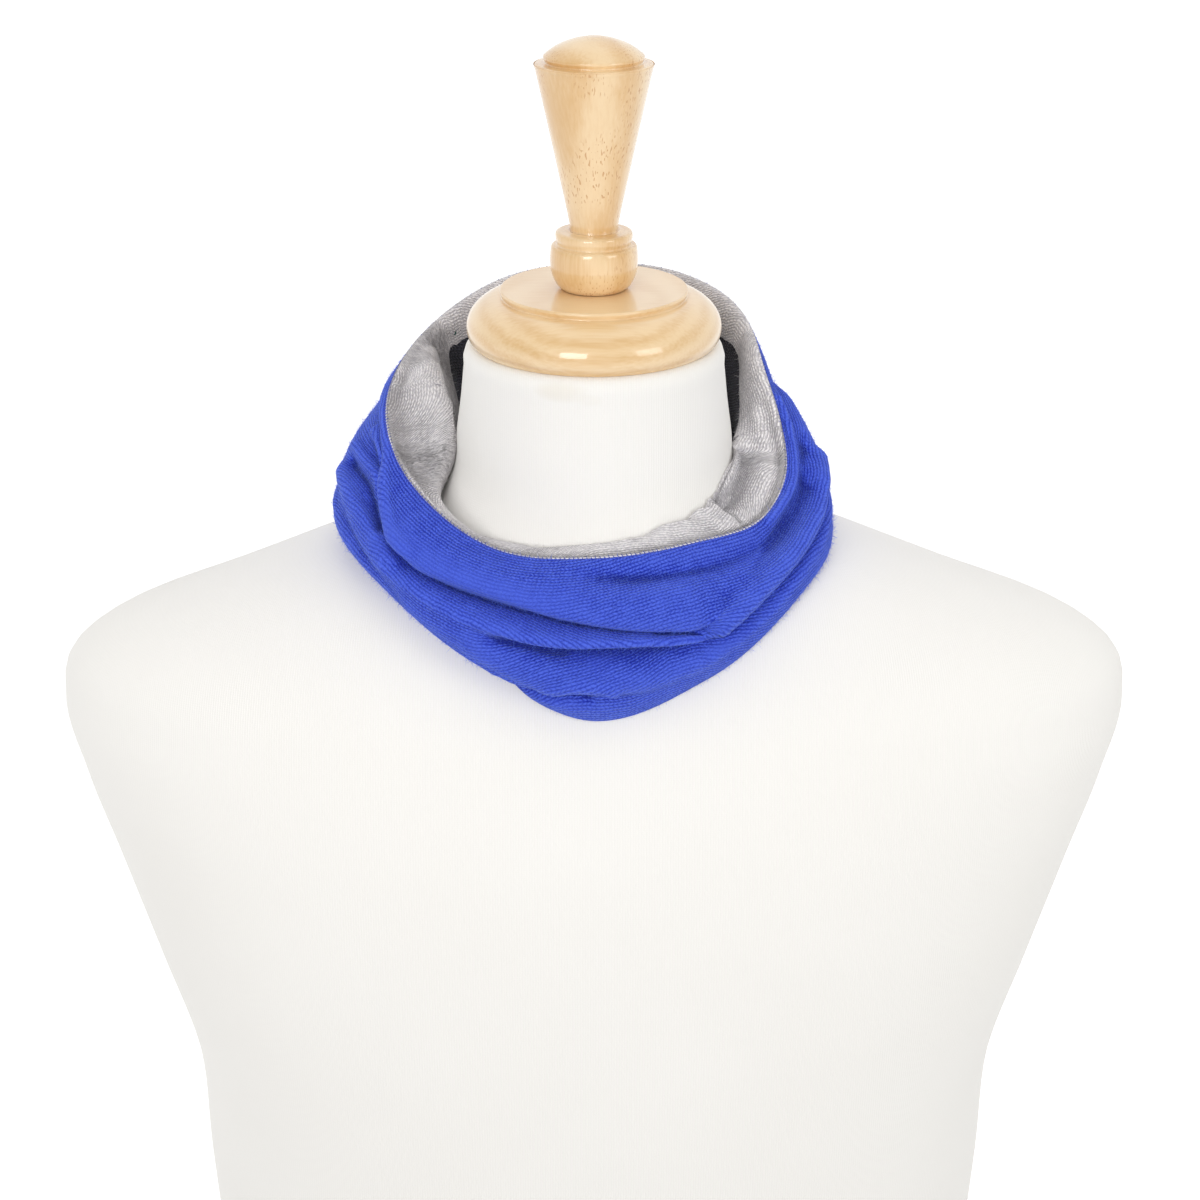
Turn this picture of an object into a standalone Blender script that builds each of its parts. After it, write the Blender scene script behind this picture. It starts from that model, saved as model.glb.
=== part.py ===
"""A neck warmer, a double knitted tube, worn on a limbless dress form with a turned wooden neck cap.

Metres, +Z up, the front faces -Y, and the origin is the middle of the flat underside of the form.
Heights on the form and the cloth are given as a drop below the top of the neck cap, in millimetres,
and radii are taken from the upright neck axis. Angles go round that axis: 0 is the front, 90 is +X.
"""

import functools
import math

import bpy
import numpy as np

MM = 0.001
CAP_TOP = 740 * MM  # the flat top of the neck cap above the floor
NECK_Y = 6.5 * MM  # the neck axis lies this far behind the middle of the form

# The body of the form, a row for each level: drop below the cap's top, half width, depth in front of
# the neck axis, depth behind it, and how square the section is (2 is an ellipse). Its neck has a
# rounded top edge under the cap, and its last row is the flat underside.
BODY_COLUMNS = ("drop", "half_width", "front", "back", "squareness")
BODY = (
    (24.0, 54.5, 54.5, 54.5, 2.0),
    (26.5, 57.0, 57.0, 57.0, 2.0),
    (34.0, 58.0, 58.0, 58.0, 2.0),
    (48.0, 59.5, 59.5, 59.5, 2.0),
    (62.0, 61.5, 61.5, 61.5, 2.0),
    (84.0, 66.0, 65.0, 65.0, 2.0),
    (100.0, 80.0, 68.5, 71.0, 2.0),
    (112.0, 104.0, 72.0, 77.0, 2.0),
    (124.0, 136.0, 77.5, 82.0, 2.0),
    (142.0, 183.0, 87.0, 89.0, 2.0),
    (158.0, 225.0, 96.0, 95.0, 2.05),
    (171.0, 243.5, 103.0, 99.0, 2.1),
    (190.0, 248.5, 110.0, 103.5, 2.2),
    (222.0, 241.5, 119.0, 108.5, 2.3),
    (262.0, 229.0, 125.0, 112.0, 2.35),
    (313.0, 214.0, 127.0, 114.0, 2.4),
    (371.0, 198.5, 126.0, 112.0, 2.4),
    (440.0, 196.0, 121.0, 107.0, 2.4),
    (520.0, 193.0, 117.0, 104.0, 2.4),
    (620.0, 195.0, 118.0, 108.0, 2.4),
    (740.0, 190.0, 114.0, 108.0, 2.4),
)
BODY_FINE_ABOVE = 142.0  # the levels lie closer together down to this drop, where the cloth rests
BODY_FINE_LEVELS = 8.5
BODY_COARSE_LEVELS = 45.0
BODY_AROUND = 44  # points round each section

# Turned wood from the bottom up: height above the cap's top, radius. The cap is a thick rounded
# ring with a flat disc on it. The finial is a bowl, a collar, a waist, a flared grip and a dome.
TURNED_COLUMNS = ("height", "radius")
NECK_CAP = (
    (-23.6, 54.0),
    (-22.0, 55.3),
    (-18.5, 56.4),
    (-14.5, 56.2),
    (-10.5, 54.4),
    (-7.0, 51.0),
    (-4.4, 46.5),
    (-3.4, 42.8),
    (-3.0, 41.0),
    (-0.8, 41.6),
    (0.0, 41.0),
)
FINIAL = (
    (0.3, 14.5),
    (2.5, 16.6),
    (7.0, 18.6),
    (12.0, 19.3),
    (17.5, 19.0),
    (19.4, 18.3),
    (20.0, 16.3),
    (23.0, 16.9),
    (25.4, 16.2),
    (26.0, 11.6),
    (28.5, 10.7),
    (52.0, 15.6),
    (93.5, 24.7),
    (96.0, 25.4),
    (97.5, 24.8),
    (98.0, 21.0),
    (100.0, 21.6),
    (101.4, 20.8),
    (104.8, 15.8),
    (107.4, 9.0),
    (108.6, 3.2),
)
NECK_CAP_AROUND = 40
FINIAL_AROUND = 28

# Stations round the neck, a row every 30 degrees. The tube hangs from its rim, swells out to its
# belly and comes down to its hem on the form. Inside, the lining turns down at the throat, and at
# the back it changes to navy below the band line.
STATION_COLUMNS = (
    "angle",
    "rim_radius",
    "rim_drop",
    "belly_radius",
    "belly_drop",
    "hem_drop",
    "throat_radius",
    "throat_drop",
    "band_drop",
)
STATIONS = (
    (0, 79.0, 96.0, 103.5, 127.0, 162.5, 70.0, 95.0, 95.0),
    (30, 83.0, 92.0, 105.5, 118.0, 147.0, 70.0, 88.5, 95.0),
    (60, 86.5, 87.5, 106.5, 105.0, 121.0, 68.0, 80.5, 90.0),
    (90, 83.0, 62.0, 104.0, 88.0, 111.5, 66.0, 68.5, 72.0),
    (120, 82.0, 29.0, 97.0, 76.0, 111.5, 71.0, 64.0, 48.0),
    (150, 85.5, 15.0, 92.0, 71.0, 115.0, 75.0, 62.0, 41.0),
    (180, 85.0, 12.5, 91.0, 70.0, 118.0, 77.0, 60.0, 42.0),
    (210, 87.0, 17.5, 95.0, 72.0, 117.0, 79.0, 61.0, 42.0),
    (240, 92.0, 36.0, 104.0, 79.0, 113.5, 77.0, 55.0, 56.0),
    (270, 93.0, 57.0, 116.0, 91.0, 113.5, 65.0, 62.5, 77.0),
    (300, 89.0, 78.0, 113.5, 102.0, 119.5, 72.5, 90.5, 90.0),
    (330, 83.0, 95.0, 107.0, 119.0, 143.0, 72.0, 96.5, 95.0),
)

# The creases of the scrunched tube from the top one down, a row for each place along a crease:
# its angle, how far down the panel it runs (0 the rim, 1 the hem), how deep it sinks, how far the
# cloth just above stands out, and how far that cloth hangs down over it, the last three in mm.
CREASE_COLUMNS = ("angle", "down", "depth", "lip", "hang")
CREASES = (
    (
        (0, 0.38, 5.0, 2.5, 3.5),
        (20, 0.46, 4.5, 2.0, 3.0),
        (33, 0.47, 1.0, 1.5, 0.0),
        (60, 0.24, 0.5, 1.5, 0.0),
        (90, 0.16, 2.5, 0.0, 0.0),
        (125, 0.18, 2.5, 0.0, 0.0),
        (180, 0.33, 3.0, 1.5, 1.0),
        (235, 0.28, 2.0, 1.0, 0.0),
        (270, 0.15, 1.0, 1.5, 0.0),
        (290, 0.18, 2.5, 1.5, 0.5),
        (307, 0.28, 4.0, 1.5, 2.0),
        (330, 0.31, 5.0, 2.5, 3.5),
    ),
    (
        (0, 0.56, 4.0, 1.0, 2.0),
        (22, 0.63, 4.5, 1.0, 2.0),
        (45, 0.53, 4.5, 1.5, 2.0),
        (65, 0.42, 3.5, 1.5, 1.0),
        (85, 0.44, 2.5, 1.5, 0.5),
        (120, 0.54, 1.5, 1.0, 0.0),
        (180, 0.60, 2.5, 1.5, 1.0),
        (235, 0.55, 2.5, 1.0, 0.0),
        (265, 0.44, 3.0, 1.5, 0.5),
        (290, 0.42, 2.5, 1.0, 0.5),
        (315, 0.50, 1.0, 1.5, 0.0),
        (335, 0.55, 0.5, 1.5, 0.0),
        (348, 0.55, 4.0, 1.5, 2.0),
    ),
    (
        (0, 0.80, 2.5, 1.5, 1.5),
        (12, 0.80, 0.5, 1.0, 0.0),
        (60, 0.74, 0.5, 1.0, 0.0),
        (120, 0.78, 2.0, 1.0, 0.0),
        (180, 0.82, 2.5, 1.5, 1.0),
        (240, 0.77, 1.0, 1.0, 0.0),
        (290, 0.72, 1.5, 1.0, 0.0),
        (325, 0.82, 0.5, 1.0, 0.0),
        (345, 0.84, 3.0, 1.5, 1.0),
    ),
)
LIP_ABOVE = 5.0 * MM  # a lip is this far above its crease before it hangs down
SKIRT_SWELL = 0.5 * MM  # how far the cloth between the last crease and the hem stands out
ROUNDING = ((-0.4, 0.15), (-0.2, 0.2), (0.0, 0.3), (0.2, 0.2), (0.4, 0.15))  # step, weight
OUTER_ROWS = (6, 3, 3, 3, 4, 3, 2, 3)  # rows of quads from the rim by each lip and crease to the hem

OUTER_CLOTH = 1.9 * MM  # thickness of the blue knit
LINING_CLOTH = 1.9 * MM  # thickness of the grey and the navy knit
SEAM_GAP = 0.3 * MM
REST_GAP = 0.5 * MM  # between the cloth and the form where it rests
CLOTH_APART = (LINING_CLOTH + OUTER_CLOTH) / 2 + SEAM_GAP  # middle to middle, face to face
OUTER_REST = REST_GAP + OUTER_CLOTH / 2  # from the form to the middle of the cloth lying on it
LINING_REST = REST_GAP + LINING_CLOTH / 2
LINING_PROUD = 1.2 * MM  # how far the lining's edge stands above the edge of the outer cloth
RIM_CROWN = 1.2 * MM  # how far the lining arches up between the rim and the throat
LINING_DESCENT = (0.2, 0.4, 0.6, 0.75, 0.88, 1.0)  # where its curve is set from throat to end
LINING_END_STEP = 0.1 * MM  # how finely the place where the lining ends is looked for

# Rows of points down the lining, as shares of its length, closest together over the rim.
LINING_FRONT_ROWS = (0, 0.04, 0.08, 0.13, 0.19, 0.27, 0.38, 0.52, 0.68, 0.84, 1)
LINING_BACK_ROWS = 6
BAND_ROWS = 9
FINE_POINTS = 201  # points in the curves that are only measured, not built

SEAM_RIGHT = 88.0  # the angles of the two side seams
SEAM_LEFT = 262.0
SEAM_HALF_ANGLE = 0.1  # half the gap in a side seam
BAND_HALF_GAP = 0.25 * MM  # half the gap along the band line
FRONT = (SEAM_LEFT - 360 + SEAM_HALF_ANGLE, SEAM_RIGHT - SEAM_HALF_ANGLE)
BACK = (SEAM_RIGHT + SEAM_HALF_ANGLE, SEAM_LEFT - SEAM_HALF_ANGLE)
OUTER_FRONT_AROUND = 46  # columns of quads across each panel
OUTER_BACK_AROUND = 26
LINING_FRONT_AROUND = 40
LINING_BACK_AROUND = 28
NUDGE_ANGLE = 0.5  # steps for measuring which way the cloth faces
NUDGE_STEP = 0.002

SHARP_ANGLE = math.radians(50)  # edges that turn by more than this look like corners
# Colour (linear) and roughness of each material; none is a metal.
MATERIALS = {
    "blue_knit": ((0.035, 0.085, 0.62), 0.9),
    "grey_knit": ((0.47, 0.45, 0.44), 0.9),
    "navy_knit": ((0.018, 0.02, 0.05), 0.95),
    "white_jersey": ((0.86, 0.85, 0.82), 0.85),
    "pale_wood": ((0.72, 0.5, 0.25), 0.3),
}


def column(rows, columns, name):
    return np.array([row[columns.index(name)] for row in rows], float)


def smooth_through(x, xs, ys):
    """A smooth curve through the points (xs, ys): cubic pieces whose slopes come from the neighbours."""
    steps = np.diff(xs)
    rises = np.diff(ys) / steps
    inner = (rises[:-1] * steps[1:] + rises[1:] * steps[:-1]) / (steps[:-1] + steps[1:])
    slopes = np.concatenate([rises[:1], inner, rises[-1:]])
    i = np.clip(np.searchsorted(xs, x, side="right") - 1, 0, len(steps) - 1)
    t = (x - xs[i]) / steps[i]
    return (
        ys[i] * (1 + 2 * t) * (1 - t) ** 2
        + slopes[i] * steps[i] * t * (1 - t) ** 2
        + ys[i + 1] * t * t * (3 - 2 * t)
        + slopes[i + 1] * steps[i] * t * t * (t - 1)
    )


def all_round(rows, columns, name, angles):
    """A column of rows placed round the neck, at any angles in degrees, smooth all the way round."""
    around = column(rows, columns, "angle")
    xs = np.concatenate([around - 360, around, around + 360])
    return smooth_through(np.mod(angles, 360.0), xs, np.tile(column(rows, columns, name), 3))


def station(name, angles):
    return all_round(STATIONS, STATION_COLUMNS, name, angles) * MM


def body_section(drops, names):
    levels = column(BODY, BODY_COLUMNS, "drop")
    return [smooth_through(drops, levels, column(BODY, BODY_COLUMNS, name)) for name in names]


def body_radius(angles, drops):
    """How far the form's surface is from the neck axis, at these angles and drops."""
    half_width, front, back, squareness = body_section(drops / MM, BODY_COLUMNS[1:])
    turn = np.radians(angles)
    depth = np.where(np.cos(turn) > 0, front, back)
    across = np.abs(np.sin(turn) / half_width) ** squareness
    along = np.abs(np.cos(turn) / depth) ** squareness
    return (across + along) ** (-1 / squareness) * MM


def body_spread(angles, drops):
    """How much the form's radius grows for each metre further down."""
    step = 0.5 * MM
    return (body_radius(angles, drops + step) - body_radius(angles, drops - step)) / (2 * step)


def off_body(angles, drops, distance):
    """(radius, drop) of points that stand this far off the form, square to it."""
    spread = body_spread(angles, drops)
    square = np.sqrt(1 + spread**2)
    return body_radius(angles, drops) + distance / square, drops - distance * spread / square


def place(angles, radii, drops):
    """World points from angles in degrees, radii and drops in metres."""
    turn = np.radians(angles)
    xyz = radii * np.sin(turn), NECK_Y - radii * np.cos(turn), CAP_TOP - drops
    return np.stack(np.broadcast_arrays(*xyz), axis=-1)


def clear_all():
    for item in list(bpy.data.objects):
        bpy.data.objects.remove(item)


def material(slot):
    found = bpy.data.materials.get(slot)
    if found:
        return found
    colour, roughness = MATERIALS[slot]
    made = bpy.data.materials.new(slot)
    made.use_nodes = True
    shader = made.node_tree.nodes["Principled BSDF"]
    shader.inputs["Base Color"].default_value = (*colour, 1)
    shader.inputs["Roughness"].default_value = roughness
    shader.inputs["Metallic"].default_value = 0
    return made


def solid(name, slot, points, faces):
    mesh = bpy.data.meshes.new(name)
    mesh.from_pydata([tuple(p) for p in points], [], faces)
    mesh.update()
    mesh.materials.append(material(slot))
    mesh.shade_smooth()
    mesh.set_sharp_from_angle(angle=SHARP_ANGLE)
    made = bpy.data.objects.new(name, mesh)
    bpy.context.scene.collection.objects.link(made)


def stacked_rings(name, slot, rings):
    """A closed solid from rings of points, lowest first, with a flat cap at each end."""
    count = len(rings[0])
    faces = [tuple(reversed(range(count)))]
    for low in range(len(rings) - 1):
        start = low * count
        for i in range(count):
            j = (i + 1) % count
            faces.append((start + i, start + j, start + count + j, start + count + i))
    top = (len(rings) - 1) * count
    faces.append(tuple(top + i for i in range(count)))
    solid(name, slot, np.concatenate(rings), faces)


# ---------------------------------------------------------------- the dress form


def make_body():
    turns = np.radians(np.arange(BODY_AROUND) * 360.0 / BODY_AROUND)
    levels = []
    for high, low in zip(BODY[:-1], BODY[1:]):
        spacing = BODY_FINE_LEVELS if high[0] < BODY_FINE_ABOVE else BODY_COARSE_LEVELS
        parts = max(1, math.ceil((low[0] - high[0]) / spacing))
        levels += [high[0] + (low[0] - high[0]) * i / parts for i in range(parts)]
    levels.append(BODY[-1][0])
    rings = []
    for drop in reversed(levels):
        width, front, back = body_section(drop, ("half_width", "front", "back"))
        depths = np.where(np.cos(turns) > 0, front, back)
        angles = np.degrees(np.arctan2(width * np.sin(turns), depths * np.cos(turns)))
        rings.append(place(angles, body_radius(angles, drop * MM), drop * MM))
    stacked_rings("form_body", "white_jersey", rings)


def make_turned(name, profile, around):
    angles = np.arange(around) * 360.0 / around
    heights = column(profile, TURNED_COLUMNS, "height") * MM
    radii = column(profile, TURNED_COLUMNS, "radius") * MM
    rings = [place(angles, radius, -height) for height, radius in zip(heights, radii)]
    stacked_rings(name, "pale_wood", rings)


# ---------------------------------------------------------------- the cloth


def wall(name, slot, grid, normals, thickness):
    """A closed slab of cloth round a grid of mid-surface points, [angle][down]."""
    offset = normals * thickness / 2
    points = np.concatenate([(grid + offset).reshape(-1, 3), (grid - offset).reshape(-1, 3)])
    turns, rows = grid.shape[:2]

    def at(turn, row, side):
        return (side * turns + turn) * rows + row

    faces = []
    for i in range(turns - 1):
        for j in range(rows - 1):
            quad = ((i, j), (i, j + 1), (i + 1, j + 1), (i + 1, j))
            faces.append(tuple(at(*corner, 0) for corner in quad))
            faces.append(tuple(at(*corner, 1) for corner in reversed(quad)))
    border = [(i, 0) for i in range(turns - 1)]
    border += [(turns - 1, j) for j in range(rows - 1)]
    border += [(i, rows - 1) for i in range(turns - 1, 0, -1)]
    border += [(0, j) for j in range(rows - 1, 0, -1)]
    for here, after in zip(border, border[1:] + border[:1]):
        faces.append((at(*here, 0), at(*after, 0), at(*after, 1), at(*here, 1)))
    solid(name, slot, points, faces)


def outer_base(angles, downs):
    """(radius, drop) of the outer tube before its creases: from the rim by the belly to the hem."""
    rim = station("rim_radius", angles), station("rim_drop", angles)
    belly = station("belly_radius", angles), station("belly_drop", angles)
    hem = off_body(angles, station("hem_drop", angles), OUTER_REST)
    curves = []
    for start, middle, end in zip(rim, belly, hem):
        pull = 2 * middle - (start + end) / 2
        curves.append(
            start * (1 - downs) ** 2 + 2 * pull * downs * (1 - downs) + end * downs**2
        )
    return curves


@functools.lru_cache(maxsize=None)
def crease_plan(angle):
    """What shapes the creased cloth at one angle: its smooth curve as points and which way they
    face, and how far down it and how far out of it each lip and crease lies."""
    downs = np.linspace(0, 1, FINE_POINTS)
    points = np.array(outer_base(angle, downs))
    along = np.concatenate([[0], np.cumsum(np.hypot(*np.diff(points)))])
    slopes = np.gradient(points, along, axis=1)
    places = [0.0]
    swells = [0.0]
    for rows in CREASES:
        crease = {
            name: float(all_round(rows, CREASE_COLUMNS, name, angle)) for name in CREASE_COLUMNS
        }
        centre = crease["down"] * along[-1]
        places += [centre - LIP_ABOVE + crease["hang"] * MM, centre]
        swells += [crease["lip"] * MM, -crease["depth"] * MM]
    places += [(places[-1] + along[-1]) / 2, along[-1]]
    swells += [SKIRT_SWELL, 0.0]
    facing = np.array([slopes[1], -slopes[0]])
    return along, points, facing, np.array(places), np.array(swells)


def crease_curve(angle, steps):
    """(radius, drop) down the creased outer cloth at one angle. Steps count the lips and creases."""
    along, points, facing, places, swells = crease_plan(float(angle))
    knots = np.arange(len(places), dtype=float)
    at = np.clip(smooth_through(steps, knots, places), 0, along[-1])
    swell = smooth_through(steps, knots, swells)
    return np.array(
        [np.interp(at, along, points[i]) + swell * np.interp(at, along, facing[i]) for i in (0, 1)]
    )


def outer_profile(angle, steps):
    """The creased cloth with its turns rounded: each point is a mean of its neighbours'."""
    last = len(OUTER_ROWS)
    mean = 0
    for shift, weight in ROUNDING:
        at = steps + shift
        inside = np.clip(np.where(at < 0, -at, np.where(at > last, 2 * last - at, at)), 0, last)
        end = crease_curve(angle, np.where(at < last / 2, 0.0, float(last)))
        curve = crease_curve(angle, inside)
        mean = mean + weight * np.where((at < 0) | (at > last), 2 * end - curve, curve)
    return mean


def lining_end(angle, outer):
    """The drop at which the lining, lying on the form, comes up against the outer cloth."""
    drop = station("hem_drop", angle)
    while True:
        radius, lifted = off_body(angle, drop, LINING_REST)
        if np.hypot(outer[0] - radius, outer[1] - lifted).min() > CLOTH_APART:
            return drop
        drop -= LINING_END_STEP


@functools.lru_cache(maxsize=None)
def lining_curve(angle):
    """The lining at one angle as (distance along it, points): over the rim, down the throat, along
    the form to its end."""
    outer = outer_profile(angle, np.linspace(0, len(OUTER_ROWS), FINE_POINTS))
    down = outer[:, 1] - outer[:, 0]
    inward = np.array([-down[1], down[0]]) / np.hypot(*down)
    rim = outer[:, 0] + CLOTH_APART * inward - np.array([0, LINING_PROUD])
    throat = np.array([station("throat_radius", angle), station("throat_drop", angle)])
    slack = throat[0] - body_radius(angle, throat[1]) - LINING_REST
    points = [rim, (rim + throat) / 2 - np.array([0, RIM_CROWN]), throat]
    end = lining_end(angle, outer)
    for share in LINING_DESCENT:
        drop = throat[1] + share * (end - throat[1])
        points.append(off_body(angle, drop, LINING_REST + slack * (1 - share) ** 2))
    points = np.array(points)
    along = np.concatenate([[0], np.cumsum(np.hypot(*np.diff(points, axis=0).T))])
    return along, points


def lining_profile(angle, shares):
    """(radius, drop) at shares of the way down the lining at one angle."""
    along, points = lining_curve(angle)
    return [smooth_through(shares * along[-1], along, points[:, i]) for i in (0, 1)]


def band_shares(angle):
    """Where the grey ends and the navy begins, as shares of the way down the lining."""
    shares = np.linspace(0, 1, FINE_POINTS)
    drops = lining_profile(angle, shares)[1]
    line = shares[np.argmax(drops > station("band_drop", angle))]
    half_gap = BAND_HALF_GAP / lining_curve(angle)[0][-1]
    return line - half_gap, line + half_gap


def panel(first, last, around, profile, rows_at):
    """Points and normals of a panel between two side seams, [angle][down]."""
    grid = []
    normals = []
    for angle in np.linspace(first, last, around + 1):
        rows = rows_at(angle)

        def points(turn=0.0, step=0.0):
            return place(angle + turn, *profile(angle + turn, rows + step))

        grid.append(points())
        across = points(turn=NUDGE_ANGLE) - points(turn=-NUDGE_ANGLE)
        down = points(step=NUDGE_STEP) - points(step=-NUDGE_STEP)
        normals.append(np.cross(down, across))
    normals = np.array(normals)
    return np.array(grid), normals / np.linalg.norm(normals, axis=2, keepdims=True)


def outer_rows(angle):
    rows = [0.0]
    for segment, parts in enumerate(OUTER_ROWS):
        rows += [segment + (part + 1) / parts for part in range(parts)]
    return np.array(rows)


def lining_front_rows(angle):
    return np.array(LINING_FRONT_ROWS)


def lining_back_rows(angle):
    return np.linspace(0, band_shares(angle)[0], LINING_BACK_ROWS)


def band_rows(angle):
    return np.linspace(band_shares(angle)[1], 1, BAND_ROWS)


def make_outer():
    for name, (first, last), around in (
        ("outer_front", FRONT, OUTER_FRONT_AROUND),
        ("outer_back", BACK, OUTER_BACK_AROUND),
    ):
        grid, normals = panel(first, last, around, outer_profile, outer_rows)
        wall(name, "blue_knit", grid, normals, OUTER_CLOTH)


def make_lining():
    for name, slot, (first, last), around, rows_at in (
        ("lining_front", "grey_knit", FRONT, LINING_FRONT_AROUND, lining_front_rows),
        ("lining_back", "grey_knit", BACK, LINING_BACK_AROUND, lining_back_rows),
        ("lining_back_band", "navy_knit", BACK, LINING_BACK_AROUND, band_rows),
    ):
        grid, normals = panel(first, last, around, lining_profile, rows_at)
        wall(name, slot, grid, normals, LINING_CLOTH)


def main():
    clear_all()
    make_body()
    make_turned("neck_cap", NECK_CAP, NECK_CAP_AROUND)
    make_turned("finial", FINIAL, FINIAL_AROUND)
    make_outer()
    make_lining()


main()
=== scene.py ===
"""The looks of a knitted neck warmer on a dress form: knit, seams and nap on the cloth, ribbed jersey
on the form and grain on the turned wood.

Metres, +Z up, the front faces -Y. Heights on the form and the cloth are given as a drop below the
top of the neck cap, in millimetres, and radii are taken from the upright neck axis. Angles go round
that axis: 0 is the front, 90 is +X.
"""

import functools
import math

import bpy
import numpy as np
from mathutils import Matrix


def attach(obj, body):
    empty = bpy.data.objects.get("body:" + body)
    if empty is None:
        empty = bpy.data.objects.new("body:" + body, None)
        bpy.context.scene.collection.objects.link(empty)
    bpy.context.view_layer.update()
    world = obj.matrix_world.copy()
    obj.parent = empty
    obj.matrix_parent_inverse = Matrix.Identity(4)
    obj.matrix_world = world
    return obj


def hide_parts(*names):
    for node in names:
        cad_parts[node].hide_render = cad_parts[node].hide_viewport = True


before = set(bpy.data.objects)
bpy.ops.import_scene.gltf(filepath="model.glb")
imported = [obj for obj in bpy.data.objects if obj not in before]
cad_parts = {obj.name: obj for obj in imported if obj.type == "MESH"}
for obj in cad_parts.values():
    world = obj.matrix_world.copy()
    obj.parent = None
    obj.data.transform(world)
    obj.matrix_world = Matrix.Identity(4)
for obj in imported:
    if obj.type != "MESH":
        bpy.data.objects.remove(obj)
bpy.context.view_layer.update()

MM = 0.001
CAP_TOP = 740 * MM
NECK_Y = 6.5 * MM

# -------- tables, in mm and degrees

BODY_COLUMNS = ("drop", "half_width", "front", "back", "squareness")
BODY = (
    (24, 54.5, 54.5, 54.5, 2), (26.5, 57, 57, 57, 2), (34, 58, 58, 58, 2), (48, 59.5, 59.5, 59.5, 2),
    (62, 61.5, 61.5, 61.5, 2), (84, 66, 65, 65, 2), (100, 80, 68.5, 71, 2), (112, 104, 72, 77, 2),
    (124, 136, 77.5, 82, 2), (142, 183, 87, 89, 2), (158, 225, 96, 95, 2.05), (171, 243.5, 103, 99, 2.1),
    (190, 248.5, 110, 103.5, 2.2), (222, 241.5, 119, 108.5, 2.3), (262, 229, 125, 112, 2.35),
    (313, 214, 127, 114, 2.4), (371, 198.5, 126, 112, 2.4), (440, 196, 121, 107, 2.4),
    (520, 193, 117, 104, 2.4), (620, 195, 118, 108, 2.4), (740, 190, 114, 108, 2.4),
)
TURNED_COLUMNS = ("height", "radius")
NECK_CAP = (
    (-23.6, 54), (-22, 55.3), (-18.5, 56.4), (-14.5, 56.2), (-10.5, 54.4), (-7, 51), (-4.4, 46.5),
    (-3.4, 42.8), (-3, 41), (-0.8, 41.6), (0, 41),
)
FINIAL = (
    (0.3, 14.5), (2.5, 16.6), (7, 18.6), (12, 19.3), (17.5, 19), (19.4, 18.3), (20, 16.3), (23, 16.9),
    (25.4, 16.2), (26, 11.6), (28.5, 10.7), (52, 15.6), (93.5, 24.7), (96, 25.4), (97.5, 24.8), (98, 21),
    (100, 21.6), (101.4, 20.8), (104.8, 15.8), (107.4, 9), (108.6, 3.2),
)
STATION_COLUMNS = ("angle", "rim_radius", "rim_drop", "belly_radius", "belly_drop", "hem_drop")
STATIONS = (
    (0, 79, 96, 103.5, 127, 162.5), (30, 83, 92, 105.5, 118, 147), (60, 88, 88.3, 106.5, 105, 121),
    (75, 87.8, 77.5, 106, 96.5, 115), (90, 83.2, 61.5, 104, 88, 111.5), (105, 79.8, 44.5, 100.5, 81.5, 111),
    (120, 82, 29, 97, 76, 111.5), (150, 85.5, 15, 92, 71, 115), (180, 85, 12.5, 91, 70, 118),
    (210, 87, 17.5, 95, 72, 117), (240, 92, 36, 104, 79, 113.5), (270, 93, 57, 116, 91, 113.5),
    (300, 89, 78, 113.5, 102, 119.5), (330, 83, 95, 107, 119, 143),
)
# The lining's throat, and how far the lining arches up (or sags) on the way there.
LINING_COLUMNS = ("angle", "radius", "drop", "crown")
LINING = (
    (0, 69, 94.5, 0.5), (8, 69, 93.5, 0.5), (16, 69, 91, 0), (30, 69, 87.5, -0.5), (45, 68.5, 84, -0.5),
    (53, 66, 81, -1), (66, 63.8, 75, -1.5), (76, 63.3, 72, -1.5), (87, 63.5, 70, -0.5), (94, 65.5, 68.5, 0),
    (100, 67, 68, 0.5), (120, 71, 64, 1), (150, 75, 62, 1.2), (180, 77, 60, 1.2), (210, 79, 61, 1.2),
    (228, 79.5, 58, 1.2), (238, 80, 54, 1.2), (247, 78.5, 46.5, 1.5), (254, 74, 45, 2), (261, 68.8, 50, 2),
    (267, 65, 55.5, 1.5), (272, 63.8, 60.5, 0.5), (276, 62.8, 65.5, 0), (281, 64, 70, -0.5),
    (285, 67.6, 74.5, -1), (289, 72, 80, -1), (293, 75, 84.5, -1), (300, 76, 89.5, -0.5),
    (308, 75.5, 93, 0), (316, 74.8, 95.3, 0), (330, 72, 96.5, 0.5), (345, 70, 96, 0.5),
)
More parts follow.
